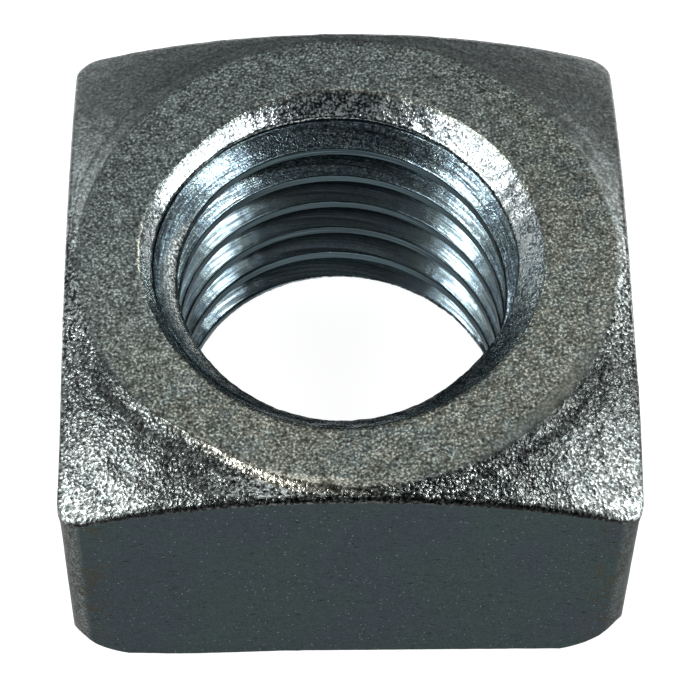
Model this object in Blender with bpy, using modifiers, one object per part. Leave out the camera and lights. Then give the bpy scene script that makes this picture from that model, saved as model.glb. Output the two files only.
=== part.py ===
"""A forged steel square nut with a coarse right-hand inch thread, standing on its foot.

The foot rests on z = 0 with its centre at the origin, and the bevelled face is on top.
Every length is in metres.
"""

import math

import bmesh
import bpy
from mathutils import Vector

# Forged body
ACROSS_FLATS = 0.03334
HEIGHT = 0.0188
CORNER_RADIUS = 0.0014
RING_INSET = 0.0008
BEVEL_ANGLE = math.radians(23)
FOOT_ROUNDING = 0.0053
FOOT_MEETING_ANGLE = math.radians(40)
EDGE_BREAK = 0.0003

# Tapped hole: a right-hand thread, nine to the inch, drilled and cut a little over its basic size
THREAD_DIAMETER = 0.022225
PITCH = 0.0254 / 9
FLANK_ANGLE = math.radians(30)
CREST_ALLOWANCE = 0.00037
ROOT_ALLOWANCE = 0.00028
CREST_HEIGHT_AT_BACK = 0.0015
TOP_MOUTH_ALLOWANCE = 0.0020
FOOT_MOUTH_ALLOWANCE = 0.0008
COUNTERSINK_ANGLE = math.radians(45)
HOLE_OFFSET_X = -0.0003
HOLE_OFFSET_Y = -0.0001

# How finely round shapes are divided
TURNED_STEPS = 112
THREAD_STEPS = 72
CORNER_STEPS = 6
ROUNDING_STEPS = 8
BREAK_STEPS = 2

# How far a cutter runs past what it cuts
OVERCUT = 0.001
ROUNDING_CLEARANCE = 0.0001

# Zinc plate
PLATE_COLOUR = (0.19, 0.21, 0.205, 1.0)
PLATE_ROUGHNESS = 0.38

# What follows from those sizes
HALF_WIDTH = ACROSS_FLATS / 2
CORNER_REACH = (HALF_WIDTH - CORNER_RADIUS) * math.sqrt(2) + CORNER_RADIUS
SHARP_DEPTH = PITCH / 2 / math.tan(FLANK_ANGLE)
CREST_RADIUS = (THREAD_DIAMETER + CREST_ALLOWANCE) / 2 - SHARP_DEPTH * 5 / 8
ROOT_RADIUS = (THREAD_DIAMETER + ROOT_ALLOWANCE) / 2
ROOT_FLAT = PITCH / 8
GROOVE_MOUTH = ROOT_FLAT + 2 * (ROOT_RADIUS - CREST_RADIUS) * math.tan(FLANK_ANGLE)
TOP_MOUTH_RADIUS = (THREAD_DIAMETER + TOP_MOUTH_ALLOWANCE) / 2
FOOT_MOUTH_RADIUS = (THREAD_DIAMETER + FOOT_MOUTH_ALLOWANCE) / 2
HOLE_CENTRE = Vector((HOLE_OFFSET_X, HOLE_OFFSET_Y, 0.0))


def clear_scene():
    for obj in list(bpy.data.objects):
        bpy.data.objects.remove(obj, do_unlink=True)


def new_collection(name):
    collection = bpy.data.collections.new(name)
    bpy.context.scene.collection.children.link(collection)
    return collection


def new_object(name, mesh, collection):
    obj = bpy.data.objects.new(name, mesh)
    collection.objects.link(obj)
    return obj


def as_cutter(obj):
    obj.hide_render = True
    obj.display_type = "WIRE"
    return obj


def plate_material():
    material = bpy.data.materials.new("zinc_plated_steel")
    material.use_nodes = True
    shader = material.node_tree.nodes["Principled BSDF"]
    shader.inputs["Base Color"].default_value = PLATE_COLOUR
    shader.inputs["Metallic"].default_value = 1.0
    shader.inputs["Roughness"].default_value = PLATE_ROUGHNESS
    return material


def turned(name, profile, collection):
    """A solid of revolution about Z, from (radius, height) points that run down its outer side."""
    mesh = bpy.data.meshes.new(name)
    points = [(radius, 0.0, height) for radius, height in profile]
    edges = [(i, i + 1) for i in range(len(points) - 1)]
    mesh.from_pydata(points, edges, [])
    obj = new_object(name, mesh, collection)
    screw = obj.modifiers.new("turn", "SCREW")
    screw.axis = "Z"
    screw.angle = math.tau
    screw.steps = TURNED_STEPS
    screw.render_steps = TURNED_STEPS
    screw.use_merge_vertices = True
    screw.merge_threshold = 1e-6
    return as_cutter(obj)


def arc(centre_radius, centre_height, radius, start, end, steps):
    """Profile points of an arc, with angles measured from straight out and upwards."""
    points = []
    for i in range(steps + 1):
        angle = start + (end - start) * i / steps
        across = centre_radius + radius * math.cos(angle)
        up = centre_height + radius * math.sin(angle)
        points.append((across, up))
    return points


def square_prism(collection):
    """The square bar that the nut is forged from, with its four upright edges rounded."""
    bm = bmesh.new()
    bmesh.ops.create_cube(bm, size=1.0)
    bmesh.ops.scale(bm, vec=(ACROSS_FLATS, ACROSS_FLATS, HEIGHT + 2 * OVERCUT), verts=bm.verts)
    bmesh.ops.translate(bm, vec=(0.0, 0.0, HEIGHT / 2), verts=bm.verts)
    upright = [edge for edge in bm.edges if edge.verts[0].co.xy == edge.verts[1].co.xy]
    bmesh.ops.bevel(
        bm,
        geom=upright,
        offset=CORNER_RADIUS,
        segments=CORNER_STEPS,
        profile=0.5,
        affect="EDGES",
    )
    mesh = bpy.data.meshes.new("square_nut")
    bm.to_mesh(mesh)
    bm.free()
    return new_object("square_nut", mesh, collection)


def forging_envelope(collection):
    """The turned outline that bevels the top corners and rounds the corners of the foot."""
    reach = CORNER_REACH + ROUNDING_CLEARANCE
    ring_radius = HALF_WIDTH - RING_INSET
    bevel_drop = (reach - ring_radius) * math.tan(BEVEL_ANGLE)
    rounding_height = FOOT_ROUNDING * math.cos(FOOT_MEETING_ANGLE)
    foot_corner = arc(
        reach - FOOT_ROUNDING,
        rounding_height,
        FOOT_ROUNDING,
        0.0,
        FOOT_MEETING_ANGLE - math.pi / 2,
        ROUNDING_STEPS,
    )
    profile = [(0.0, HEIGHT), (ring_radius, HEIGHT), (reach, HEIGHT - bevel_drop)]
    profile += foot_corner
    profile.append((0.0, 0.0))
    return turned("forging_envelope", profile, collection)


def countersink_cutter(name, mouth_radius, face_height, outward, collection):
    """A cone that opens the mouth of the hole in one face, where outward is 1 on top and -1 on the foot."""
    spread = math.tan(COUNTERSINK_ANGLE)
    wide = mouth_radius + OVERCUT * spread
    profile = [
        (0.0, face_height + outward * OVERCUT),
        (wide, face_height + outward * OVERCUT),
        (0.0, face_height - outward * mouth_radius / spread),
    ]
    if outward < 0:
        profile.reverse()
    obj = turned(name, profile, collection)
    obj.location = HOLE_CENTRE
    return obj


def thread_profile(bottom, pitches):
    """The tap's edge in one half plane, as (radius, height) points of crests and roots from the bottom up."""
    points = []
    for i in range(pitches):
        middle = bottom + PITCH * (i + 0.5)
        points.append((CREST_RADIUS, middle - GROOVE_MOUTH / 2))
        points.append((ROOT_RADIUS, middle - ROOT_FLAT / 2))
        points.append((ROOT_RADIUS, middle + ROOT_FLAT / 2))
        points.append((CREST_RADIUS, middle + GROOVE_MOUTH / 2))
    points.append((CREST_RADIUS, bottom + PITCH * (pitches + 0.5) - GROOVE_MOUTH / 2))
    return points


def tap_cutter(collection):
    """The shape of the tap that cuts the thread, one turn of its edge about Z with a rise of one pitch."""
    bottom = CREST_HEIGHT_AT_BACK - PITCH / 4
    while bottom > -OVERCUT - PITCH:
        bottom -= PITCH
    pitches = math.ceil((HEIGHT + OVERCUT - bottom) / PITCH)

    bm = bmesh.new()
    verts = [bm.verts.new((radius, 0.0, height)) for radius, height in thread_profile(bottom, pitches)]
    edges = [bm.edges.new(pair) for pair in zip(verts, verts[1:])]
    bmesh.ops.spin(
        bm,
        geom=verts + edges,
        cent=(0.0, 0.0, 0.0),
        axis=(0.0, 0.0, 1.0),
        dvec=(0.0, 0.0, PITCH / THREAD_STEPS),
        angle=math.tau,
        steps=THREAD_STEPS,
    )
    bmesh.ops.remove_doubles(bm, verts=bm.verts, dist=1e-6)
    open_ends = [edge for edge in bm.edges if edge.is_boundary]
    caps = bmesh.ops.holes_fill(bm, edges=open_ends, sides=0)["faces"]
    bmesh.ops.poke(bm, faces=caps)
    bmesh.ops.recalc_face_normals(bm, faces=bm.faces)
    mesh = bpy.data.meshes.new("tap_cutter")
    bm.to_mesh(mesh)
    bm.free()
    obj = new_object("tap_cutter", mesh, collection)
    obj.location = HOLE_CENTRE
    return as_cutter(obj)


def add_boolean(obj, operation, other):
    modifier = obj.modifiers.new(other.name, "BOOLEAN")
    modifier.operation = operation
    modifier.solver = "EXACT"
    modifier.object = other


def apply_modifiers(obj):
    bpy.context.view_layer.update()
    graph = bpy.context.evaluated_depsgraph_get()
    shaped = bpy.data.meshes.new_from_object(obj.evaluated_get(graph))
    obj.modifiers.clear()
    rough = obj.data
    obj.data = shaped
    bpy.data.meshes.remove(rough)
    shaped.name = obj.name


def break_edges(obj):
    """Takes the sharpness off every outer edge, as tumbling and plating do."""
    bm = bmesh.new()
    bm.from_mesh(obj.data)
    bmesh.ops.dissolve_limit(bm, angle_limit=math.radians(0.1), verts=bm.verts, edges=bm.edges)
    sharp = [edge for edge in bm.edges if edge.calc_face_angle(0.0) > math.radians(30)]
    bmesh.ops.bevel(
        bm,
        geom=sharp,
        offset=EDGE_BREAK,
        segments=BREAK_STEPS,
        profile=0.5,
        affect="EDGES",
        clamp_overlap=True,
    )
    bm.to_mesh(obj.data)
    bm.free()


def build_nut():
    part = new_collection("square_nut_part")
    cutters = new_collection("cutters")
    nut = square_prism(part)
    add_boolean(nut, "INTERSECT", forging_envelope(cutters))
    apply_modifiers(nut)
    break_edges(nut)
    add_boolean(nut, "DIFFERENCE", tap_cutter(cutters))
    add_boolean(nut, "DIFFERENCE", countersink_cutter("top_countersink", TOP_MOUTH_RADIUS, HEIGHT, 1, cutters))
    add_boolean(nut, "DIFFERENCE", countersink_cutter("foot_countersink", FOOT_MOUTH_RADIUS, 0.0, -1, cutters))
    apply_modifiers(nut)
    nut.data.materials.clear()
    nut.data.materials.append(plate_material())
    nut.data.shade_smooth()
    nut.data.set_sharp_from_angle(angle=math.radians(28))


clear_scene()
build_nut()
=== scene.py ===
"""Looks of the square nut: a finer mesh of the nut, its zinc plate, the floor, the lamps and the camera."""

import math

import bpy
import numpy as np
from mathutils import Matrix, Vector, noise


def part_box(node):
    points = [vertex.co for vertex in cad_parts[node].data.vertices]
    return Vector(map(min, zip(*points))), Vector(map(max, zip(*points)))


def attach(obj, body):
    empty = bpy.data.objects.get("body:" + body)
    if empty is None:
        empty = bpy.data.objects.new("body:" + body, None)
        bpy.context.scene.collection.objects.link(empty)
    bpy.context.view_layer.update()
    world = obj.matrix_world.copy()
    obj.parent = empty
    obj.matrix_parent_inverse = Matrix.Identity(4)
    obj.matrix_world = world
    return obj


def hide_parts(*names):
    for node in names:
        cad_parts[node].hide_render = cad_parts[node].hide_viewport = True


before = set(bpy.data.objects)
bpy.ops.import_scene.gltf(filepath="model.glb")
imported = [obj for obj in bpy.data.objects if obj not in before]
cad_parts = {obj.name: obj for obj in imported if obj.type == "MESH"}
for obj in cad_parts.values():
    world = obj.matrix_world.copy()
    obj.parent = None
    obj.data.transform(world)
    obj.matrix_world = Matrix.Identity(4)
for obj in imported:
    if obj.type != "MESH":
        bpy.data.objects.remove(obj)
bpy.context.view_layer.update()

MM = 0.001

# Body, as the solid has it
HALF_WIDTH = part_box("square_nut")[1].x
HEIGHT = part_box("square_nut")[1].z
CORNER_RADIUS = 1.4 * MM
RING_RADIUS = HALF_WIDTH - 0.8 * MM
BEVEL_SLOPE = math.tan(math.radians(23))
FOOT_ROUNDING = 5.3 * MM
FOOT_MEETING_ANGLE = math.radians(40)
CORNER_REACH = (HALF_WIDTH - CORNER_RADIUS) * math.sqrt(2) + CORNER_RADIUS
EDGE_BREAK = 0.3 * MM

# Body, as wear and the forging die left this nut
BEVEL_START_SLOPE = math.tan(math.radians(17))
BEVEL_CURVE = (BEVEL_SLOPE - BEVEL_START_SLOPE) / (CORNER_REACH - RING_RADIUS)
RING_EDGE_BREAK = 0.7 * MM
RIDGE_WIDTH = 0.26 * MM
RIDGE_DROP = 0.23 * MM
RING_CUT = 0.60 * MM
FULLER_FOOT_ROUNDING = 1.9 * MM
FULLER_FOOT_ANGLE = math.radians(9)
FLARE_RIGHT = 0.10 * MM
FLARE_LEFT = 0.07 * MM
FOOT_BULGE = 0.16 * MM
SIDE_UNEVENNESS = 0.006 * MM
FORGED_UNEVENNESS = 0.012 * MM

# Tapped hole, as the solid has it
HOLE_CENTRE = (-0.3 * MM, -0.1 * MM)
PITCH = 25.4 * MM / 9
FLANK_SLOPE = 1 / math.tan(math.radians(30))
CREST_RADIUS = 9.77 * MM
ROOT_RADIUS = 11.25 * MM
CREST_WIDTH = 0.66 * MM
CREST_HEIGHT_AT_BACK = 1.5 * MM
TOP_MOUTH_RADIUS = 12.11 * MM
FOOT_MOUTH_RADIUS = 11.51 * MM

# Tapped hole, as the tap and wear left this nut
FIRST_CREST_WEAR = 0.74 * MM
THREAD_ROLL = 0.16 * MM
WEAR_ROLL = 0.10 * MM
CREST_RAGGEDNESS = 0.012 * MM
MOUTH_RAGGEDNESS = 0.035 * MM
CONE_END_RAGGEDNESS = 0.06 * MM
CONE_END_ROLL = 0.20 * MM
MOUTH_ROLL = 0.10 * MM
FOOT_MOUTH_ROLL = 0.12 * MM

# How finely the mesh is divided
FLAT_COLUMNS = 40
CORNER_COLUMNS = 16
ROLL_ROWS = 6
FOOT_MOUTH_ROLL_ROWS = 4
CONE_ROWS = 4
RING_ROWS = 16
SLOPE_ROWS = 20
SIDE_ROWS = 20
FOOT_ROWS = 25
FOOT_ROWS_IN_EDGE_ROLL = 6
FOOT_ROWS_IN_MOUTH_ROLL = 2
THREAD_TOP = HEIGHT - 0.7 * MM
THREAD_BOTTOM = 0.2 * MM


def smooth_step(low, high, value):
    t = np.clip((value - low) / (high - low), 0.0, 1.0)
    return t * t * (3 - 2 * t)


def smooth_max(a, b, width):
    blend = np.clip(0.5 + 0.5 * (a - b) / width, 0.0, 1.0)
    return b + (a - b) * blend + width * blend * (1 - blend)


def smooth_min(a, b, width):
    return -smooth_max(-a, -b, width)


def depth_step(height, start, end):
    """0 to 1 as the depth below the top face goes from start to end, in millimetres."""
    return smooth_step(HEIGHT - start * MM, HEIGHT - end * MM, height)


def corner_step(reach, start, end):
    """0 to 1 as the distance from the corners' reach goes from start to end, in millimetres."""
    return smooth_step(CORNER_REACH - start * MM, CORNER_REACH - end * MM, reach)


def flat_step(across, start, end):
    """0 to 1 as the distance from the flats goes from start to end, in millimetres."""
    return smooth_step(HALF_WIDTH - start * MM, HALF_WIDTH - end * MM, across)


def angle_bump(angle, centre, width):
    """A smooth bump of height 1 around one direction, in degrees."""
    off = (np.degrees(angle) - centre + 180) % 360 - 180
    return np.exp(-((off / width) ** 2))


def bumps(angle, *places):
    """The sum of bumps, each with its direction and width in degrees and its height."""
    return sum(height * angle_bump(angle, centre, width) for centre, width, height in places)


def wobble(points, size, octaves, seed):
    """Smooth noise of about -1 to 1 at each point, whose features are about this size across."""
    shifted = np.asarray(points) / size + seed
    flat = shifted.reshape(-1, 3)
    values = [noise.fractal(Vector(p), 0.6, 2.0, octaves) for p in flat]
    return np.array(values).reshape(shifted.shape[:-1])


def around(angle, radius, height=0.0):
    """Points about the hole's axis."""
    x = HOLE_CENTRE[0] + radius * np.cos(angle)
    y = HOLE_CENTRE[1] + radius * np.sin(angle)
    return np.stack([x, y, np.broadcast_to(height, x.shape)], axis=-1)


def mouth_radius(angle):
    """Radius of the countersink in the top face, which leans in a little at the back left and the front."""
    lean = bumps(angle, (137, 20, 0.34), (-138, 34, 0.34), (-45, 34, 0.30)) * MM
    ragged = MOUTH_RAGGEDNESS * wobble(around(angle, 12 * MM), 1.1 * MM, 3, seed=5.0)
    return TOP_MOUTH_RADIUS - lean + ragged


def mouth_roll(angle):
    """How wide the rim of the countersink is rolled over, widest at the back left and the front."""
    return MOUTH_ROLL + bumps(angle, (145, 32, 0.10), (-90, 62, 0.12)) * MM


def from_crest(height, angle):
    """Height above the middle of the nearest crest of the thread."""
    crest = CREST_HEIGHT_AT_BACK + PITCH * (angle / math.tau - 0.25)
    return (height - crest + PITCH / 2) % PITCH - PITCH / 2


def thread_radius(height, angle):
    """Radius of the thread alone, with slightly ragged crests, the first of them worn back at the front."""
    ragged = wobble(around(angle, CREST_RADIUS, height), 0.8 * MM, 3, seed=11.0)
    offset = from_crest(height, angle) + CREST_RAGGEDNESS * ragged
    past_crest = (np.abs(offset) - CREST_WIDTH / 2) * FLANK_SLOPE
    depth = smooth_max(past_crest, 0.035 * MM * ragged, THREAD_ROLL)
    depth = smooth_min(depth, ROOT_RADIUS - CREST_RADIUS, THREAD_ROLL)
    worn = FIRST_CREST_WEAR * depth_step(height, 3.3, 2.6) * angle_bump(angle, -95, 42)
    return CREST_RADIUS + smooth_max(depth, worn, WEAR_ROLL)


def cone_radius(height, angle):
    """Radius of the two countersinks at this height."""
    return np.maximum(mouth_radius(angle) - (HEIGHT - height), FOOT_MOUTH_RADIUS - height)


def hole_radius(height, angle):
    """Radius of the hole's wall: the thread, widened by the countersinks at both ends."""
    ragged = CONE_END_RAGGEDNESS * wobble(around(angle, ROOT_RADIUS, height), 0.55 * MM, 2, seed=17.0)
    return smooth_max(thread_radius(height, angle), cone_radius(height, angle) + ragged, CONE_END_ROLL)


def foot_height(reach, bearing):
    """Height of the foot: flat, and rounded up under the corners, less so under the front left one."""
    fuller = angle_bump(bearing, -135, 24)
    rounding = FOOT_ROUNDING - FULLER_FOOT_ROUNDING * fuller
    meeting = FOOT_MEETING_ANGLE - FULLER_FOOT_ANGLE * fuller
    across = np.clip((reach - CORNER_REACH - 0.1 * MM + rounding) / rounding, 0.0, 1.0)
    return np.maximum(rounding * (np.cos(meeting) - np.sqrt(1 - across ** 2)), 0.0)


def top_height(reach, ring_end=RING_RADIUS):
    """Height of the flat ring and of the bevel outside it, which steepens a little outwards."""
    out = np.maximum(reach - ring_end, 0.0)
    return HEIGHT - out * (BEVEL_START_SLOPE + out * BEVEL_CURVE)


def ridge(bearing):
    """Where the ring ends in a small steep ridge, at the front left."""
    return angle_bump(bearing, -106, 17)


def ring_radius(bearing):
    """Radius at which the ring ends and the bevel starts, less at the front left."""
    return RING_RADIUS - RING_CUT * angle_bump(bearing, -124, 15)


def outline():
    """The square's outline with its rounded corners, anticlockwise from the middle of the +X side."""
    inner = HALF_WIDTH - CORNER_RADIUS
    along = np.arange(FLAT_COLUMNS) / FLAT_COLUMNS * inner
    turn = np.arange(CORNER_COLUMNS) / CORNER_COLUMNS * math.pi / 2
    first = np.stack([np.full(FLAT_COLUMNS, HALF_WIDTH), along], axis=-1)
    corner = inner + CORNER_RADIUS * np.stack([np.cos(turn), np.sin(turn)], axis=-1)
    last = np.stack([inner - along, np.full(FLAT_COLUMNS, HALF_WIDTH)], axis=-1)
    quarter = np.concatenate([first, corner, last])
    sides = []
    for i in range(4):
        c, s = round(math.cos(i * math.pi / 2)), round(math.sin(i * math.pi / 2))
        sides.append(quarter @ np.array([[c, s], [-s, c]]))
    return np.concatenate(sides)


def with_height(flat, height):
    """Points from their places in plan and a height for each."""
    return np.concatenate([flat, np.broadcast_to(height, len(flat))[:, None]], axis=1)


def rounded_corner(before, corner, after, reach, rows):
    """Rows of points that turn the corner between two straight runs, starting and ending this far from it."""
    def towards(end):
        away = end - corner
        length = np.linalg.norm(away, axis=-1, keepdims=True)
        return corner + away / length * np.minimum(reach, 0.45 * length)

    start, stop = towards(before), towards(after)
    t = np.linspace(0, 1, rows)[:, None, None]
    return (1 - t) ** 2 * start + 2 * t * (1 - t) * corner + t ** 2 * stop


def rows_between(start, stop, rows, power=1.0):
    """Rows strictly between two rows, closer together near the first as the power grows."""
    t = (np.arange(1, rows + 1) / (rows + 1)) ** power
    return start + (stop - start) * t[:, None, None]


def thread_rows():
    """Offsets from the crests of the rows that follow the thread, packed at the edges of the crests."""
    one_side = np.array([0.0, 0.2, 0.29, 0.36, 0.44, 0.56, 0.76, 0.98, 1.14, 1.25]) * MM
    pitch_rows = np.concatenate([-one_side[:0:-1], one_side])
    first = math.floor((THREAD_BOTTOM - CREST_HEIGHT_AT_BACK) / PITCH) - 1
    last = math.ceil((THREAD_TOP - CREST_HEIGHT_AT_BACK) / PITCH) + 1
    return np.concatenate([pitch_rows + k * PITCH for k in range(first, last + 1)])


FORGED, SIDE, THREAD = range(3)


class Surface:
    """Collects strips of points into one welded mesh, with a finish for each strip."""

    def __init__(self):
        self.points = []
        self.faces = []
        self.finishes = []
        self.count = 0

    def add_strip(self, rows, finish):
        """Rows is an array of rows x columns x 3. The last column meets the first."""
        height, width = rows.shape[:2]
        index = self.count + np.arange(height * width).reshape(height, width)
        self.points.append(rows.reshape(-1, 3))
        self.count += height * width
        corners = [index[:-1, :-1], index[1:, :-1], index[1:, 1:], index[:-1, 1:]]
        quads = np.stack([c.ravel() for c in corners], axis=-1)
        self.faces.append(quads)
        self.finishes.append(np.full(len(quads), finish))

    def add_bands(self, bands, finish):
        """Adds bands of rows that follow each other, closed by their first column."""
        rows = np.concatenate(bands)
        self.add_strip(np.concatenate([rows, rows[:, :1]], axis=1), finish)

    def mesh(self, name):
        points = np.concatenate(self.points)
        keys = np.round(points / 1e-7).astype(np.int64)
        _, first, index = np.unique(keys, axis=0, return_index=True, return_inverse=True)
        quads = index.reshape(-1)[np.concatenate(self.faces)]
        finishes = np.concatenate(self.finishes)
        faces, kept = [], []
        for quad, finish in zip(quads.tolist(), finishes.tolist()):
            face = list(dict.fromkeys(quad))
            if len(face) > 2:
                faces.append(face)
                kept.append(finish)
        mesh = bpy.data.meshes.new(name)
        mesh.from_pydata(points[first], [], faces)
        mesh.polygons.foreach_set("material_index", kept)
        mesh.update()
        return mesh


def add_thread(surface, columns):
    """The hole's wall, in rows that rise with the thread and stop at two level rows."""
    full_turn = np.arange(columns + 1) / columns * math.tau
    rise = CREST_HEIGHT_AT_BACK + PITCH * (full_turn / math.tau - 0.25)
    height = np.clip(rise + thread_rows()[:, None], THREAD_BOTTOM, THREAD_TOP)
    turn = np.broadcast_to(full_turn, height.shape)
    surface.add_strip(around(turn, hole_radius(height, turn), height), THREAD)


def hole_row(angle, height):
    """A level row of the hole's wall."""
    return around(angle, hole_radius(np.full(len(angle), height), angle), height)


def add_top(surface, angle, edge, top_edge, foot_edge):
    """The top from the countersink to the edge of the square. Returns the row where the sides start."""
    reach = np.hypot(edge[:, 0], edge[:, 1])
    unit = edge / reach[:, None]
    bearing = np.arctan2(edge[:, 1], edge[:, 0])
    cone_foot = hole_row(angle, THREAD_TOP)
    rim = around(angle, mouth_radius(angle), HEIGHT)
    ring_end = ring_radius(bearing)
    ring_edge = with_height(unit * ring_end[:, None], HEIGHT)
    drop = RIDGE_DROP * ridge(bearing)
    ridge_foot_height = HEIGHT - RIDGE_WIDTH * BEVEL_START_SLOPE - drop
    ridge_foot = with_height(unit * (ring_end + RIDGE_WIDTH)[:, None], ridge_foot_height)

    rim_roll = rounded_corner(cone_foot, rim, ring_edge, mouth_roll(angle)[:, None], ROLL_ROWS)
    ring_break = RING_EDGE_BREAK * (1 - 0.8 * np.clip(ridge(bearing), 0, 1))[:, None]
    ring_roll = rounded_corner(rim, ring_edge, ridge_foot, ring_break, ROLL_ROWS)
    ridge_roll = rounded_corner(ring_edge, ridge_foot, top_edge, ring_break, ROLL_ROWS)
    edge_roll = rounded_corner(ridge_foot, top_edge, foot_edge, EDGE_BREAK, ROLL_ROWS)

    # The bevel starts below the ridge and comes back to the solid's height at the edge
    slope = rows_between(ridge_roll[-1], edge_roll[0], SLOPE_ROWS)
    share = np.linspace(0.1, 1.0, SLOPE_ROWS)[:, None]
    lift = top_height(reach) - top_height(reach, ring_end)
    plain = top_height(np.hypot(slope[..., 0], slope[..., 1]), ring_end)
    slope[..., 2] = plain + lift * share - drop * (1 - share)

    cone = [cone_foot[None], rows_between(cone_foot, rim_roll[0], CONE_ROWS), rim_roll]
    ring = [rim_roll[-1:], rows_between(rim_roll[-1], ring_roll[0], RING_ROWS), ring_roll, ridge_roll]
    bevel = [ridge_roll[-1:], slope, edge_roll]
    for bands in (cone, ring, bevel):
        surface.add_bands(bands, FORGED)
    return edge_roll[-1]


def add_sides_and_foot(surface, angle, side_top, top_edge, foot_edge):
    """The sides from the row where the top ends, and the foot as far as the thread."""
    inset = 1 - np.linspace(0, 1, FOOT_ROWS)[:, None, None] ** 1.8
    mouth = around(angle, FOOT_MOUTH_RADIUS, 0.0)
    in_mouth = around(angle, FOOT_MOUTH_RADIUS - 1 * MM, 1 * MM)
    foot = mouth + (foot_edge - mouth) * inset
    foot_bearing = np.arctan2(foot[..., 1], foot[..., 0])
    foot[..., 2] = foot_height(np.hypot(foot[..., 0], foot[..., 1]), foot_bearing)
    before_mouth = foot[-FOOT_ROWS_IN_MOUTH_ROLL - 2]
    foot = foot[FOOT_ROWS_IN_EDGE_ROLL:-FOOT_ROWS_IN_MOUTH_ROLL]
    foot_roll = rounded_corner(top_edge, foot_edge, foot[0], EDGE_BREAK, ROLL_ROWS)
    mouth_rows = rounded_corner(before_mouth, mouth, in_mouth, FOOT_MOUTH_ROLL, FOOT_MOUTH_ROLL_ROWS)
    side = [side_top[None], rows_between(side_top, foot_roll[0], SIDE_ROWS, 1.6), foot_roll]
    under = [foot_roll[-1:], foot, mouth_rows, hole_row(angle, THREAD_BOTTOM)[None]]
    surface.add_bands(side, SIDE)
    surface.add_bands(under, SIDE)


def nut_mesh():
    edge = outline()
    columns = len(edge)
    angle = np.arange(columns) / columns * math.tau
    reach = np.hypot(edge[:, 0], edge[:, 1])
    top_edge = with_height(edge, top_height(reach))
    foot_edge = with_height(edge, foot_height(reach, np.arctan2(edge[:, 1], edge[:, 0])))
    surface = Surface()
    add_thread(surface, columns)
    side_top = add_top(surface, angle, edge, top_edge, foot_edge)
    add_sides_and_foot(surface, angle, side_top, top_edge, foot_edge)
    return surface.mesh("square_nut_plated")


class Places:
    """Where each point of the mesh lies, mostly as shares from 0 to 1 of the zones that look different."""

    def __init__(self, mesh):
        points = np.empty(len(mesh.vertices) * 3)
        mesh.vertices.foreach_get("co", points)
        self.x, self.y, self.z = points.reshape(-1, 3).T
        from_hole = self.x - HOLE_CENTRE[0], self.y - HOLE_CENTRE[1]
        self.reach = np.hypot(self.x, self.y)
        self.bearing = np.arctan2(self.y, self.x)
        self.hole_reach = np.hypot(*from_hole)
        self.hole_angle = np.arctan2(from_hole[1], from_hole[0])

        # The ring and the bevel
        past_ring = self.reach - ring_radius(self.bearing)
        self.front = smooth_step(0.35, -0.35, np.sin(self.bearing))
        self.on_bevel = smooth_step(-0.2 * MM, 0.3 * MM, past_ring)
        self.diagonal = smooth_step(0.5, 0.95, np.abs(np.sin(2 * self.bearing)))
        self.outward = np.clip((self.reach - RING_RADIUS) / (CORNER_REACH - RING_RADIUS), 0, 1)
        self.widened = angle_bump(self.bearing, -94, 10)
        off_band = np.abs(past_ring - (0.20 - 0.24 * self.widened) * MM) - 0.24 * MM * self.widened
        self.band = smooth_step(0.34 * MM, 0.14 * MM, off_band) * ridge(self.bearing)
        inner_side = smooth_step(RING_RADIUS - 1.1 * MM, RING_RADIUS - 0.4 * MM, self.reach)
        outer_side = smooth_step(RING_RADIUS + 0.5 * MM, RING_RADIUS, self.reach)
        self.worn = inner_side * outer_side * angle_bump(self.bearing, -43, 19)

        # The hole
        self.spare = cone_radius(self.z, self.hole_angle) - thread_radius(self.z, self.hole_angle)
        self.below_rim = depth_step(self.z, 0.02, 0.35) * (1 - self.on_bevel)
        self.in_cone = self.below_rim * smooth_step(-0.32 * MM, -0.06 * MM, self.spare)
        self.behind = angle_bump(self.hole_angle, 90, 26)
        self.high = depth_step(self.z, 8.0, 3.5)


def grain_contrast(at):
    """How much the grain's brightness varies."""
    ring = 0.62 + 0.03 * at.front
    bevel = 0.30 + 1.08 * at.front - 0.68 * at.diagonal * at.front
    top = np.maximum(ring * (1 - at.on_bevel) + bevel * at.on_bevel, 0.9 * at.band)
    return top * (1 - 0.6 * at.worn) * (1 - at.in_cone) + (0.75 + 0.75 * at.behind) * at.in_cone


def grain_relief(at):
    """How high the grain stands, in millimetres."""
    bevel = 0.018 + 0.034 * at.front + 0.028 * at.front * (1 - at.diagonal)
    top = 0.024 * (1 - at.on_bevel) + 0.016 * at.band + bevel * at.on_bevel
    return top * (1 - at.in_cone) + (0.026 + 0.006 * at.behind) * at.in_cone


def top_light_and_shade(at):
    """Painted light and shade on the ring and the bevel, zone by zone: lighter at the front, at the front
    corner tips and on the inner bevel at the front left, darker across the front diagonals and in four dimmed
    patches; the ridge's band and a worn patch set their own tone.
    """
    tip = corner_step(at.reach, 1.6, 0.3) * at.front * np.where(at.x > 0, 0.9, 0.4)
    left_foot = 0.62 * angle_bump(at.bearing, -130, 14) * (1 - at.outward)
    # Painted highlight on the front of the bevel, and painted shade in the patches where it is dimmed
    lit = at.front * (0.80 - (1.52 - 0.64 * at.outward) * at.diagonal) + tip + left_foot
    dim = bumps(at.bearing, (-20, 18, 0.58), (189, 14, 0.58), (-79, 11, 0.58), (-148, 18, 0.16))
    tone = (1 + 0.20 * at.front) * (1 - at.on_bevel) + (1 + lit) * (1 - dim) * at.on_bevel
    on_band = 1.0 - 0.4 * at.widened
    return (tone + (on_band - tone) * at.band) * (1 - 0.15 * at.worn)


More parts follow.
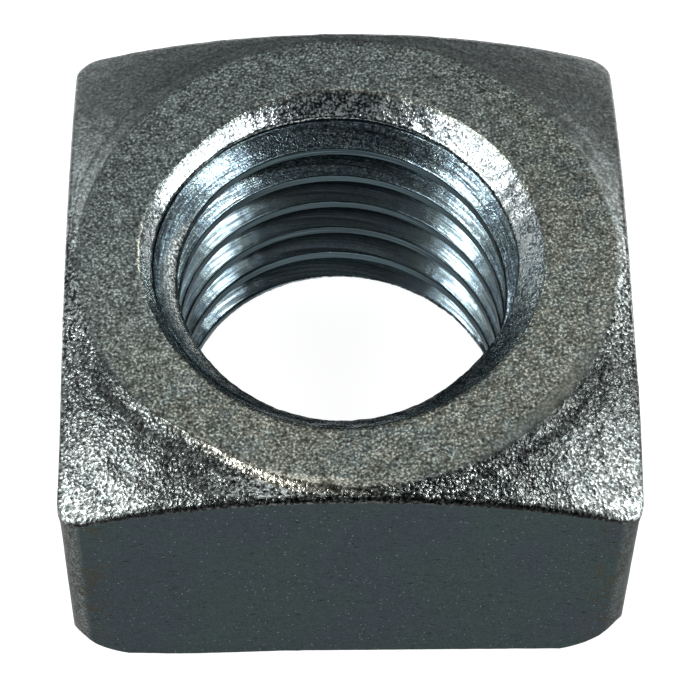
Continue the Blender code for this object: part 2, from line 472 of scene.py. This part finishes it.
def cone_light_and_shade(at):
    """Painted light and shade in the countersink: brighter at the left and at the right, more so in three
    patches lower down, and a little darker at the back.
    """
    high_cone = depth_step(at.z, 2.1, 1.6)
    low_cone = depth_step(at.z, 0.5, 1.4)
    left = 1.1 * angle_bump(at.hole_angle, 174, 30)
    right = 1.2 * angle_bump(at.hole_angle, 2, 24)
    low_tone = bumps(at.hole_angle, (158, 22, 0.5), (215, 28, 0.6), (4, 15, 0.8))
    return (1 - 0.15 * at.behind + high_cone * left + right) * (1 + low_cone * high_cone * low_tone)


def painted_edge_shade(at):
    """Painted shade on the square's upper edge: a dark line at the front, as shadow under the edge, and the
    edge darkened where it rolls over, front and back, as a dark reflection.
    """
    across = np.maximum(np.abs(at.x), np.abs(at.y))
    line = flat_step(across, 0.30, 0.15) * smooth_step(0.55, 0.8, -np.sin(at.bearing))
    rolled = smooth_step(0.02 * MM, 0.09 * MM, top_height(at.reach) - at.z) * at.on_bevel
    return np.maximum(0.85 * line, 0.92 * rolled * flat_step(np.abs(at.y), 0.5, 0.2))


def pale_wear_and_glints(at):
    """Where the plate is worn pale on the ridge, with painted glints in spots on the rim and a faint painted
    highlight where the cone ends.
    """
    at_rim = smooth_step(0.16 * MM, 0.0, np.abs(at.hole_reach - mouth_radius(at.hole_angle)))
    glint = at_rim * bumps(at.hole_angle, (178, 9, 1.0), (85, 32, 0.6))
    junction_highlight = np.exp(-(((at.spare + 0.05 * MM) / (0.15 * MM)) ** 2)) * at.below_rim
    junction_highlight = junction_highlight * smooth_step(0.5 * HEIGHT, 0.7 * HEIGHT, at.z)
    return at.band + 0.5 * glint + 0.12 * junction_highlight


def warmth(at):
    """Where the grey of the top turns warmer: at the front right."""
    front_right = smooth_step(-0.9, 0.5, np.cos(at.bearing + 0.9)) * (1 - 0.5 * at.on_bevel)
    return np.maximum(front_right, at.worn) * (1 - at.in_cone)


def thread_tone_and_shade(at):
    """How bright the thread's flanks are: a little darker high up, with painted shade in patches high up at
    the back left and the right, beside the highlights, and low down at the back left.
    """
    low = 0.78 * angle_bump(at.hole_angle, 126, 12) * depth_step(at.z, 6.5, 9)
    high = at.high * bumps(at.hole_angle, (118, 8, 0.50), (28, 6, 0.15))
    return 1 - 0.22 * at.high - (low + high)


def paint(mesh):
    """Writes what the materials need to know about each point of the mesh."""
    at = Places(mesh)
    values = {
        "contrast": grain_contrast(at),
        "relief": grain_relief(at) * MM,
        # tone: painted light and shade on the top and in the countersink, times the painted shade on the upper
        # edge
        "tone": (top_light_and_shade(at) * (1 - at.in_cone) + cone_light_and_shade(at) * at.in_cone) * (1 - painted_edge_shade(at)),
        "bevel": at.on_bevel,
        "cone": at.in_cone,
        # ridge: the ridge's pale wear, with painted glints on the rim and a painted highlight where the cone
        # ends
        "ridge": pale_wear_and_glints(at),
        "corner": corner_step(at.reach, 0.32, 0.04) * np.where(at.x > 0, 0.6, 1.0),
        "edge": corner_step(at.reach, 1.5, 0.5),
        "warm": warmth(at),
        "flank": np.abs(from_crest(at.z, at.hole_angle)) / (PITCH / 2),
        "whole": smooth_step(-0.20 * MM, -0.60 * MM, at.spare),
        "upper": at.high * (0.6 + 0.4 * at.behind),
        # A little darker high up, with painted shade in patches on the thread's flanks
        "flank_tone_and_shade": thread_tone_and_shade(at),
    }
    for name, value in values.items():
        layer = mesh.attributes.new(name, "FLOAT", "POINT")
        layer.data.foreach_set("value", value.astype(np.float32))


def bend(points):
    """Flares the top front corners to the sides and bulges the foot forwards at the left."""
    x, y, z = points.T
    at_edge = smooth_step(1.9 * MM, 0.3 * MM, top_height(np.hypot(x, y)) - z)
    right = FLARE_RIGHT * smooth_step(-4 * MM, -12 * MM, y) * (x > 0)
    left = FLARE_LEFT * smooth_step(-11 * MM, -15.5 * MM, y) * (x < 0)
    points[:, 0] += at_edge * flat_step(np.abs(x), 1.2, 0.0) * (right - left)
    at_foot = smooth_step(3.5 * MM, 0.5 * MM, z) * flat_step(-y, 0.5, 0.0)
    points[:, 1] -= FOOT_BULGE * at_foot * np.exp(-((x + 10 * MM) / (4.5 * MM)) ** 2)


def roughen(mesh):
    """Bends the body a little, roughens it outside the thread and keeps the foot flat on the floor."""
    count = len(mesh.vertices)
    points = np.empty(count * 3)
    normals = np.empty(count * 3)
    relief = np.empty(count)
    mesh.vertices.foreach_get("co", points)
    mesh.vertex_normals.foreach_get("vector", normals)
    mesh.attributes["relief"].data.foreach_get("value", relief)
    points = points.reshape(-1, 3)
    x, y, z = points.T
    inside = np.hypot(x - HOLE_CENTRE[0], y - HOLE_CENTRE[1]) < TOP_MOUTH_RADIUS - 0.5 * MM
    on_side = np.maximum(np.abs(x), np.abs(y)) > HALF_WIDTH - 0.02 * MM
    forged = FORGED_UNEVENNESS + 0.6 * relief * depth_step(z, 4.2, 3.2)
    amount = np.where(on_side, SIDE_UNEVENNESS, forged)
    amount[inside] = 0.0
    bend(points)
    waves = wobble(points, 3.5 * MM, 2, seed=3.0)
    lumps = wobble(points, 0.75 * MM, 3, seed=9.0)
    points += normals.reshape(-1, 3) * (amount * (0.6 * waves + lumps))[:, None]
    points[:, 2] = np.maximum(points[:, 2], 0.0)
    mesh.vertices.foreach_set("co", points.ravel())
    mesh.update()


# Colours of the plate, in linear red, green and blue
RING_COOL = (0.146, 0.176, 0.170)
RING_WARM = (0.174, 0.184, 0.157)
BEVEL_COOL = (0.174, 0.199, 0.198)
BEVEL_WARM = (0.186, 0.196, 0.180)
CONE_COOL = (0.275, 0.318, 0.335)
CONE_WARM = (0.295, 0.325, 0.32)
# Cream of the worn ridge, also used for painted glints and a painted highlight in the mouth
CREAM_WEAR_AND_GLINT = (0.76, 0.76, 0.64)
# The sides' slate is kept dark as painted shade, standing in for dark surroundings in their reflection
SHADED_SLATE_DARK = (0.036, 0.049, 0.051)
SHADED_SLATE_GREEN = (0.040, 0.057, 0.055)
SHADED_SLATE_BLUE = (0.043, 0.054, 0.063)
PIT = (0.008, 0.010, 0.011)
# Painted shadow under the square's upper edge
EDGE_SHADOW = (0.008, 0.009, 0.009)
SPECK = (0.30, 0.34, 0.34)
CORNER_GREY = (0.12, 0.13, 0.125)
RUST = (0.050, 0.046, 0.034)
FLANK_COOL = (0.135, 0.186, 0.218)
FLANK_WARM = (0.142, 0.190, 0.202)
# Painted shade on the thread's crests and in its roots
CREST_SHADE = (0.062, 0.090, 0.101)
ROOT_SHADE = (0.030, 0.040, 0.045)
GRAIN_LIMIT = (0.86, 0.93, 0.94)
CREAM_LIMIT = (0.95, 0.93, 0.79)
PLATE_LIMIT = (0.95, 0.95, 0.95)

# Sizes of the plate's grain and marks
COARSE_GRAIN = 0.20 * MM
FINE_GRAIN = 0.165 * MM
FORGED_PATCHES = 1.5 * MM
FORGED_CLOUDS = 1.1 * MM
SIDE_PATCHES = 5 * MM
SIDE_DRAW_LINES = 0.16 * MM
GRIT = 0.13 * MM
SPECK_SPACING = 0.42 * MM
RUST_PATCHES = 0.9 * MM
THREAD_PATCHES = 1.3 * MM
STREAKS_UP_A_FLANK = 20.0
STREAKS_PER_METRE = 360.0


class Shader:
    """Builds one material's nodes around its Principled shader."""

    def __init__(self, name):
        self.material = bpy.data.materials.new(name)
        self.material.use_nodes = True
        self.tree = self.material.node_tree
        self.surface = self.tree.nodes["Principled BSDF"]
        self.place = self.add("TexCoord").outputs["Object"]

    def join(self, socket, value):
        """Links a socket to a node's output, or sets it to a number, a vector or a colour."""
        if isinstance(value, bpy.types.NodeSocket):
            self.tree.links.new(value, socket)
        elif socket.type == "RGBA":
            socket.default_value = (*value, 1.0)
        else:
            socket.default_value = value

    def add(self, kind, inputs=None, **settings):
        node = self.tree.nodes.new("ShaderNode" + kind)
        for key, value in settings.items():
            setattr(node, key, value)
        for key, value in (inputs or {}).items():
            self.join(node.inputs[key], value)
        return node

    def math(self, operation, a, b=0.0):
        return self.add("Math", {0: a, 1: b}, operation=operation).outputs[0]

    def times(self, a, b):
        return self.math("MULTIPLY", a, b)

    def plus(self, a, b):
        return self.math("ADD", a, b)

    def minus(self, a, b):
        return self.math("SUBTRACT", a, b)

    def vector(self, operation, a, b):
        return self.add("VectorMath", {0: a, 1: b}, operation=operation).outputs[0]

    def noise(self, size, detail=2.0, roughness=0.5, distortion=0.0, vector=None):
        """Noise from 0 to 1, whose features are about this size across."""
        inputs = {
            "Vector": self.place if vector is None else vector,
            "Scale": 1 / size,
            "Detail": detail,
            "Roughness": roughness,
            "Distortion": distortion,
        }
        return self.add("TexNoise", inputs).outputs["Fac"]

    def cells(self, size):
        """Distance to the nearest of points scattered about this far apart, as a share of that."""
        return self.add("TexVoronoi", {"Vector": self.place, "Scale": 1 / size}).outputs["Distance"]

    def granules(self, size):
        """Noise from 0 to 1 with small round peaks about this size across."""
        rough = self.times(self.noise(size, 2.0, 0.5, 0.4), 0.70)
        peaks = self.times(self.minus(1.08, self.cells(size)), 0.28)
        return self.plus(rough, peaks)

    def between(self, value, low, high, start=0.0, end=1.0):
        """Goes smoothly from start to end as the value goes from low to high."""
        inputs = {"Value": value, "From Min": low, "From Max": high, "To Min": start, "To Max": end}
        return self.add("MapRange", inputs, interpolation_type="SMOOTHSTEP").outputs["Result"]

    def mix(self, share, a, b):
        """A colour that goes from a to b as share goes from 0 to 1."""
        node = self.add("Mix", data_type="RGBA")
        for index, value in ((0, share), (6, a), (7, b)):
            self.join(node.inputs[index], value)
        return node.outputs[2]

    def blend(self, share, a, b):
        """A number that goes from a to b as share goes from 0 to 1."""
        node = self.add("Mix", data_type="FLOAT")
        for index, value in ((0, share), (2, a), (3, b)):
            self.join(node.inputs[index], value)
        return node.outputs[0]

    def scale(self, tone, value):
        return self.add("VectorMath", {0: tone, "Scale": value}, operation="SCALE").outputs[0]

    def limit(self, tone, most):
        return self.vector("MINIMUM", tone, most)

    def contrast(self, field, amount):
        """Turns noise of 0 to 1 into a brightness factor around 1 whose range grows with the amount."""
        power = self.times(self.minus(field, 0.5), amount)
        return self.math("MINIMUM", self.math("EXPONENT", power), 4.0)

    def painted(self, name):
        return self.add("Attribute", attribute_name=name).outputs["Fac"]

    def below_edge(self):
        """How far a point of the sides is below the edge where the bevel starts."""
        flat = self.vector("MULTIPLY", self.place, (1.0, 1.0, 0.0))
        reach = self.add("VectorMath", {0: flat}, operation="LENGTH").outputs["Value"]
        out = self.minus(reach, RING_RADIUS)
        drop = self.times(out, self.plus(self.times(out, BEVEL_CURVE), BEVEL_START_SLOPE))
        up = self.add("SeparateXYZ", {0: self.place}).outputs["Z"]
        return self.minus(self.minus(HEIGHT, drop), up)


def forged_look(s):
    """The grained top: dark pits between bright grains, coarse on the bevel and finer elsewhere."""
    bevel, pale_and_glint, contrast = s.painted("bevel"), s.painted("ridge"), s.painted("contrast")
    field = s.blend(bevel, s.granules(FINE_GRAIN), s.granules(COARSE_GRAIN))
    patches = s.noise(FORGED_PATCHES, 4.0, 0.7)
    clouds = s.noise(FORGED_CLOUDS, 3.0, 0.6)

    warm = s.times(s.painted("warm"), s.between(patches, 0.36, 0.58, 0.2, 1.0))
    skin = s.mix(bevel, s.mix(warm, RING_COOL, RING_WARM), s.mix(warm, BEVEL_COOL, BEVEL_WARM))
    skin = s.mix(s.painted("cone"), skin, s.mix(s.between(clouds, 0.4, 0.6), CONE_COOL, CONE_WARM))
    # Cream for the ridge's pale wear and for the painted glints and highlight in the mouth
    skin = s.mix(s.times(pale_and_glint, s.between(clouds, 0.35, 0.5, 0.5, 1.0)), skin, CREAM_WEAR_AND_GLINT)
    # The painted tone: the plate lightened and darkened zone by zone as painted light and shade
    skin = s.scale(skin, s.painted("tone"))

    grains = s.contrast(field, s.times(contrast, 11.0))
    cloudy = s.contrast(clouds, s.times(contrast, s.blend(bevel, 3.0, 1.4)))
    tone = s.scale(skin, s.math("MINIMUM", s.times(grains, cloudy), 3.6))
    tone = s.limit(tone, s.mix(pale_and_glint, GRAIN_LIMIT, CREAM_LIMIT))
    rough = s.between(contrast, 0.3, 1.2, 0.30, 0.20)
    return tone, rough, s.times(field, s.painted("relief"))


def side_look(s):
    """The smooth slate sides, dark as painted shade, with faint tints, small pits, scattered bright specks,
    lighter grey corners and a ragged painted shadow under the upper edge.
    """
    patches = s.noise(SIDE_PATCHES, 2.0, 0.5)
    level = s.vector("MULTIPLY", s.place, (0.35, 0.35, 1.0))
    drawn = s.noise(SIDE_DRAW_LINES, 2.0, 0.6, vector=level)
    grit = s.noise(GRIT, 2.0, 0.6)
    corner = s.painted("corner")

    # Slate kept dark as painted shade for the dark surroundings that the sides reflect
    tint = s.mix(s.between(patches, 0.4, 0.6), SHADED_SLATE_GREEN, SHADED_SLATE_BLUE)
    skin = s.mix(s.between(drawn, 0.3, 0.7), SHADED_SLATE_DARK, tint)
    skin = s.mix(s.between(drawn, 0.25, 0.33), PIT, skin)
    specks = s.between(s.cells(SPECK_SPACING), 0.12, 0.06)
    skin = s.mix(s.times(specks, 0.6), skin, SPECK)
    # Lighter grey on the rounded corners, less so on the right
    skin = s.mix(s.times(corner, 0.7), skin, CORNER_GREY)
    rust = s.between(s.noise(RUST_PATCHES, 3.0, 0.6), 0.48, 0.62)
    skin = s.mix(s.times(s.times(s.painted("edge"), rust), 0.6), skin, RUST)
    skin = s.scale(skin, s.contrast(grit, s.plus(s.times(corner, 4.0), 1.2)))

    # A ragged line of painted shadow under the square's upper edge, broken here and there
    wavy = s.times(s.noise(0.45 * MM, 3.0, 0.6), 0.35 * MM)
    ragged_share = s.between(s.plus(s.below_edge(), wavy), 0.38 * MM, 0.32 * MM)
    broken = s.between(s.noise(1.6 * MM, 2.0, 0.5), 0.30, 0.38)
    skin = s.mix(s.times(ragged_share, broken), skin, EDGE_SHADOW)

    height = s.times(s.plus(s.times(drawn, 0.6), s.times(grit, 0.4)), 0.010 * MM)
    return skin, s.between(patches, 0.3, 0.7, 0.32, 0.42), height


def thread_look(s):
    """The cut thread: bright steel with fine streaks that run round it, rougher high up, with painted shade on
    the crests and in the roots.
    """
    flank, upper, whole = s.painted("flank"), s.painted("upper"), s.painted("whole")
    up_flank = s.add("CombineXYZ", {"X": s.times(flank, STREAKS_UP_A_FLANK)}).outputs[0]
    round_hole = s.vector("MULTIPLY", s.place, (STREAKS_PER_METRE,) * 3)
    streaks = s.noise(1.0, 4.0, 0.65, vector=s.vector("ADD", round_hole, up_flank))
    grit = s.noise(GRIT, 2.0, 0.5, 1.0)
    patches = s.noise(THREAD_PATCHES, 2.0, 0.6)

    streaky = s.contrast(streaks, s.blend(upper, 4.5, 8.7))
    gritty = s.contrast(grit, s.blend(upper, 1.5, 9.5))
    # The flanks' brightness, darkened in patches by painted shade
    bright = s.times(s.times(streaky, gritty), s.painted("flank_tone_and_shade"))
    steel = s.scale(s.mix(s.between(patches, 0.4, 0.6), FLANK_COOL, FLANK_WARM), bright)
    ragged_share = s.plus(flank, s.times(s.minus(grit, 0.5), 0.20))
    # Painted shade: dark crests as a dark reflection in the full thread, and dark roots where shade falls,
    # less so near the countersink
    on_crest = s.times(s.between(ragged_share, 0.28, 0.21), whole)
    in_root = s.times(s.between(ragged_share, 0.86, 0.95), s.blend(whole, 0.3, 1.0))
    steel = s.mix(on_crest, steel, s.scale(CREST_SHADE, s.contrast(streaks, 4.0)))
    steel = s.mix(in_root, steel, s.scale(ROOT_SHADE, streaky))

    relief = s.times(grit, s.blend(upper, 0.003 * MM, 0.015 * MM))
    height = s.plus(s.times(streaks, 0.008 * MM), relief)
    return steel, s.between(streaks, 0.35, 0.65, 0.29, 0.13), height


def plate_material(name, look, other=None, mask=None, edge_tint=1.0):
    """Zinc plate with one look, or with two that a painted mask mixes."""
    s = Shader(name)
    tone, rough, height = look(s)
    if other:
        share = s.painted(mask)
        other_tone, other_rough, other_height = other(s)
        tone = s.mix(share, tone, other_tone)
        rough = s.blend(share, rough, other_rough)
        height = s.blend(share, height, other_height)
    bump = s.add("Bump", {"Height": height, "Distance": 1.0}).outputs["Normal"]
    s.join(s.surface.inputs["Base Color"], s.limit(tone, PLATE_LIMIT))
    s.join(s.surface.inputs["Roughness"], rough)
    s.join(s.surface.inputs["Metallic"], 1.0)
    s.join(s.surface.inputs["Specular Tint"], (edge_tint,) * 3)
    s.join(s.surface.inputs["Normal"], bump)
    return s.material


def show(name, data):
    """Puts a mesh, lamp or camera into the scene as an object."""
    obj = bpy.data.objects.new(name, data)
    bpy.context.scene.collection.objects.link(obj)
    return obj


def add_nut():
    mesh = nut_mesh()
    paint(mesh)
    roughen(mesh)
    mesh.materials.append(plate_material("zinc_forged", forged_look))
    mesh.materials.append(plate_material("zinc_side", side_look, edge_tint=0.5))
    mesh.materials.append(plate_material("zinc_hole", thread_look, forged_look, "cone", 0.5))
    mesh.shade_smooth()
    nut = show("square_nut_plated", mesh)
    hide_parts("square_nut")
    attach(nut, "root")


# Camera: its angles in radians, and its place from the nut's foot in widths across flats
VIEW_DOWN = 1.0031827
VIEW_TURN = 0.0331943
VIEW_ROLL = 0.0227190
VIEW_DISTANCE = 5.93196
VIEW_RIGHT = 0.0079521
VIEW_UP = 0.1311716
LENS = 158.80
SENSOR_WIDTH = 36.0
NEAREST_SEEN = 0.001


def add_camera():
    turn = Matrix.Rotation(-VIEW_TURN, 3, "Z")
    forward = turn @ Vector((0.0, math.cos(VIEW_DOWN), -math.sin(VIEW_DOWN)))
    right = turn @ Vector((1.0, 0.0, 0.0))
    up = right.cross(forward)
    place = (right * VIEW_RIGHT + up * VIEW_UP - forward * VIEW_DISTANCE) * 2 * HALF_WIDTH
    c, s = math.cos(VIEW_ROLL), math.sin(VIEW_ROLL)
    axes = Matrix((right * c + up * s, up * c - right * s, -forward)).transposed()
    camera = show("camera", bpy.data.cameras.new("camera"))
    camera.data.sensor_width = SENSOR_WIDTH
    camera.data.lens = LENS
    camera.data.clip_start = NEAREST_SEEN
    camera.matrix_world = Matrix.Translation(place) @ axes.to_4x4()
    bpy.context.scene.camera = camera


# Studio
LAMP_DISTANCE = 0.32
STUDIO_LOW = 0.30
STUDIO_OVERHEAD = 0.08
FLOOR_REACH = 4.0
FLOOR_GAP = 0.02 * MM
FLOOR_GREY = (0.35, 0.35, 0.35, 1.0)
FLOOR_GLOW = 0.95
WHITE = (1.0, 1.0, 1.0, 1.0)


def add_lamp(name, bearing, rise, wide, tall, radiance):
    """A soft box that faces the nut; from there it is this many degrees round, up, wide and tall."""
    turn, lift = math.radians(bearing), math.radians(rise)
    away = Vector((math.cos(turn) * math.cos(lift), math.sin(turn) * math.cos(lift), math.sin(lift)))
    data = bpy.data.lights.new(name, "AREA")
    data.shape = "ELLIPSE"
    data.size = 2 * LAMP_DISTANCE * math.tan(math.radians(wide / 2))
    data.size_y = 2 * LAMP_DISTANCE * math.tan(math.radians(tall / 2))
    data.energy = radiance * math.pi * data.size * data.size_y * math.pi / 4
    lamp = show(name, data)
    lamp.location = Vector((0.0, 0.0, HEIGHT)) + away * LAMP_DISTANCE
    lamp.rotation_euler = away.to_track_quat("Z", "Y").to_euler()
    lamp.visible_camera = False


def seen_rays(tree):
    """1 for the rays that should meet white around the nut: those of the camera, reflections and glass."""
    path = tree.nodes.new("ShaderNodeLightPath")
    total = path.outputs["Is Camera Ray"]
    for name in ("Is Glossy Ray", "Is Transmission Ray"):
        either = tree.nodes.new("ShaderNodeMath")
        either.operation = "MAXIMUM"
        tree.links.new(total, either.inputs[0])
        tree.links.new(path.outputs[name], either.inputs[1])
        total = either.outputs[0]
    return total


def scaled(tree, value, low, high):
    node = tree.nodes.new("ShaderNodeMapRange")
    node.inputs["To Min"].default_value = low
    node.inputs["To Max"].default_value = high
    tree.links.new(value, node.inputs["Value"])
    return node.outputs["Result"]


def add_world():
    """A plain grey studio, paler towards the floor than overhead."""
    world = bpy.data.worlds.new("studio")
    world.use_nodes = True
    tree = world.node_tree
    direction = tree.nodes.new("ShaderNodeSeparateXYZ")
    tree.links.new(tree.nodes.new("ShaderNodeTexCoord").outputs["Generated"], direction.inputs[0])
    strength = scaled(tree, direction.outputs["Z"], STUDIO_LOW, STUDIO_OVERHEAD)
    tree.links.new(strength, tree.nodes["Background"].inputs["Strength"])
    tree.nodes["Background"].inputs["Color"].default_value = WHITE
    bpy.context.scene.world = world


def floor_material():
    """A grey matt floor with a glow that only seen_rays meet, so it is white and gives no diffuse light."""
    material = bpy.data.materials.new("pale_floor")
    material.use_nodes = True
    tree = material.node_tree
    tree.nodes.remove(tree.nodes["Principled BSDF"])
    matt = tree.nodes.new("ShaderNodeBsdfDiffuse")
    matt.inputs["Color"].default_value = FLOOR_GREY
    glow = tree.nodes.new("ShaderNodeEmission")
    tree.links.new(scaled(tree, seen_rays(tree), 0.0, FLOOR_GLOW), glow.inputs["Strength"])
    both = tree.nodes.new("ShaderNodeAddShader")
    tree.links.new(matt.outputs[0], both.inputs[0])
    tree.links.new(glow.outputs[0], both.inputs[1])
    tree.links.new(both.outputs[0], tree.nodes["Material Output"].inputs["Surface"])
    return material


def add_floor():
    mesh = bpy.data.meshes.new("floor")
    corners = [(x * FLOOR_REACH, y * FLOOR_REACH, 0) for x, y in ((-1, -1), (1, -1), (1, 1), (-1, 1))]
    mesh.from_pydata(corners, [], [(0, 1, 2, 3)])
    mesh.materials.append(floor_material())
    floor = show("floor", mesh)
    floor.location.z = -FLOOR_GAP


bpy.context.scene.view_settings.view_transform = "Standard"
add_nut()
add_camera()
add_lamp("low_right", -20, 20, 48, 24, 6.8)
add_lamp("low_left", 208, 20, 54, 23, 6.8)
add_lamp("core_right", -2, 47, 12, 22, 14.0)
add_lamp("core_left", 191, 47, 13, 22, 14.0)
add_lamp("side_right", 45, 37, 30, 28, 1.8)
add_lamp("side_left", 130, 27, 18, 22, 2.1)
add_lamp("fill_right", 16, 34, 22, 30, 0.4)
add_lamp("fill_left", 164, 36, 26, 30, 0.45)
add_lamp("back", 90, 60, 76, 30, 0.64)
add_world()
add_floor()
